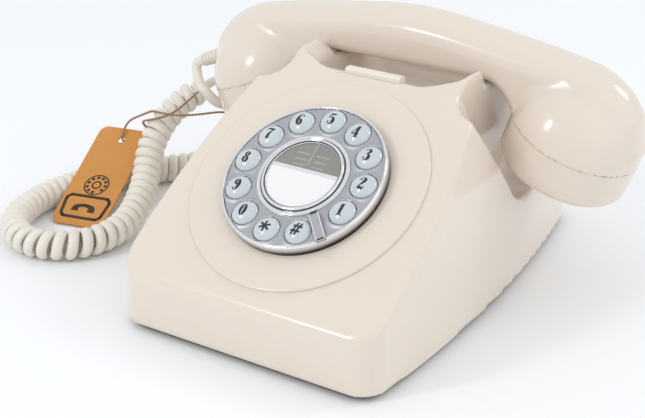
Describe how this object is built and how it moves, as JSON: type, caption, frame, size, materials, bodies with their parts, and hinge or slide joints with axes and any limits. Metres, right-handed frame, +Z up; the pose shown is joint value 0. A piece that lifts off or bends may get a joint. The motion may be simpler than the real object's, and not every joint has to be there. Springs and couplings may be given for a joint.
{
  "type": "push-button telephone",
  "caption": "Desk telephone in old dial styling, with round push buttons, a cradle, a handset, a curly handset cord and a swing tag.",
  "frame": {"origin": "on the table, under the middle of the telephone without its cord", "axes": "+X to the right seen from the front, +Y to the back, +Z up"},
  "size_m": [0.3163, 0.238, 0.1277],
  "materials": {
    "cream_plastic": "moulded, glossy",
    "pale_cream_plastic": "moulded, glossy",
    "black_plastic": "moulded, matt",
    "black_rubber": "matt",
    "steel": "satin",
    "circuit_board": "lacquered",
    "grey_plastic": "moulded, matt",
    "grey_rubber": "matt",
    "chrome": "polished plating",
    "silver_paint": "satin metallic paint",
    "label_card": "printed card",
    "brass": "satin",
    "coil_winding": "lacquered copper wire",
    "ivory_cord": "soft satin",
    "aluminium": "satin",
    "kraft_card": "plain kraft card",
    "twine": "twisted fibre",
    "clear_plastic": "smooth, translucent",
    "button_plastic": "smooth, glossy"
  },
  "bodies": {
    "base": {"housing": "cream_plastic", "base_plate": "black_plastic", "rubber_feet": "black_rubber", "case_screws": "steel", "ballast_weight": "steel", "main_board": "circuit_board", "board_screws": "steel", "dial_case": "grey_plastic", "keypad_board": "circuit_board", "keypad_mat": "grey_rubber", "dial_rim": "chrome", "dial_faceplate": "silver_paint", "centre_ring": "chrome", "centre_label": "label_card", "finger_stop": "chrome", "recall_switch": "black_plastic", "hook_guide": "grey_plastic", "hook_spring": "steel", "hook_switch": "black_plastic", "gong_left": "brass", "gong_right": "brass", "gong_posts": "steel", "ringer_frame": "steel", "ringer_coils": "coil_winding", "line_socket": "black_plastic", "ringer_switch": "black_plastic", "relief_base": "ivory_cord", "cord_tail": "ivory_cord", "cord_coil": "ivory_cord"},
    "handset": {"handset_shell": "cream_plastic", "ear_cap": "cream_plastic", "mouth_cap": "cream_plastic", "ear_capsule": "aluminium", "mouth_capsule": "black_plastic", "handset_weight": "steel", "relief_handset": "ivory_cord", "cord_lead": "ivory_cord", "swing_tag": "kraft_card", "tag_twine": "twine"},
    "hook": {"hook_yoke": "clear_plastic"},
    "recall": {"recall_bar": "pale_cream_plastic"},
    "clapper": {"clapper": "brass"},
    "ringer_slider": {"ringer_knob": "black_plastic"},
    "key_1": {"button_1": "button_plastic"},
    "key_2": {"button_2": "button_plastic"},
    "key_3": {"button_3": "button_plastic"},
    "key_4": {"button_4": "button_plastic"},
    "key_5": {"button_5": "button_plastic"},
    "key_6": {"button_6": "button_plastic"},
    "key_7": {"button_7": "button_plastic"},
    "key_8": {"button_8": "button_plastic"},
    "key_9": {"button_9": "button_plastic"},
    "key_0": {"button_0": "button_plastic"},
    "key_star": {"button_star": "button_plastic"},
    "key_hash": {"button_hash": "button_plastic"}
  },
  "joints": [
    {"name": "handset_lift", "type": "slide", "parent": "base", "child": "handset", "axis": [0, 0, 1], "range_m": [0, 0.08]},
    {"name": "hook_rise", "type": "slide", "parent": "base", "child": "hook", "axis": [0, 0, 1], "range_m": [0, 0.005], "deforming": ["hook_spring"]},
    {"name": "recall_press", "type": "slide", "parent": "base", "child": "recall", "axis": [0, 0, -1], "range_m": [0, 0.0015], "stiffness_N_per_m": 300},
    {"name": "clapper_swing", "type": "hinge", "parent": "base", "child": "clapper", "pos_m": [0, 0.052, 0.028], "axis": [0, 0, 1], "range_deg": [-3, 3], "stiffness_Nm_per_rad": 0.02},
    {"name": "ringer_slide", "type": "slide", "parent": "base", "child": "ringer_slider", "axis": [1, 0, 0], "range_m": [-0.004, 0.004]},
    {"name": "key_1_press", "type": "slide", "parent": "base", "child": "key_1", "axis": [0, 0.5624, -0.8269], "range_m": [0, 0.0015], "stiffness_N_per_m": 300},
    {"name": "key_2_press", "type": "slide", "parent": "base", "child": "key_2", "axis": [0, 0.5624, -0.8269], "range_m": [0, 0.0015], "stiffness_N_per_m": 300},
    {"name": "key_3_press", "type": "slide", "parent": "base", "child": "key_3", "axis": [0, 0.5624, -0.8269], "range_m": [0, 0.0015], "stiffness_N_per_m": 300},
    {"name": "key_4_press", "type": "slide", "parent": "base", "child": "key_4", "axis": [0, 0.5624, -0.8269], "range_m": [0, 0.0015], "stiffness_N_per_m": 300},
    {"name": "key_5_press", "type": "slide", "parent": "base", "child": "key_5", "axis": [0, 0.5624, -0.8269], "range_m": [0, 0.0015], "stiffness_N_per_m": 300},
    {"name": "key_6_press", "type": "slide", "parent": "base", "child": "key_6", "axis": [0, 0.5624, -0.8269], "range_m": [0, 0.0015], "stiffness_N_per_m": 300},
    {"name": "key_7_press", "type": "slide", "parent": "base", "child": "key_7", "axis": [0, 0.5624, -0.8269], "range_m": [0, 0.0015], "stiffness_N_per_m": 300},
    {"name": "key_8_press", "type": "slide", "parent": "base", "child": "key_8", "axis": [0, 0.5624, -0.8269], "range_m": [0, 0.0015], "stiffness_N_per_m": 300},
    {"name": "key_9_press", "type": "slide", "parent": "base", "child": "key_9", "axis": [0, 0.5624, -0.8269], "range_m": [0, 0.0015], "stiffness_N_per_m": 300},
    {"name": "key_0_press", "type": "slide", "parent": "base", "child": "key_0", "axis": [0, 0.5624, -0.8269], "range_m": [0, 0.0015], "stiffness_N_per_m": 300},
    {"name": "key_star_press", "type": "slide", "parent": "base", "child": "key_star", "axis": [0, 0.5624, -0.8269], "range_m": [0, 0.0015], "stiffness_N_per_m": 300},
    {"name": "key_hash_press", "type": "slide", "parent": "base", "child": "key_hash", "axis": [0, 0.5624, -0.8269], "range_m": [0, 0.0015], "stiffness_N_per_m": 300}
  ],
  "couplings": [
    {"joint": "hook_rise", "follows": "handset_lift", "ratio": 0.0625}
  ]
}
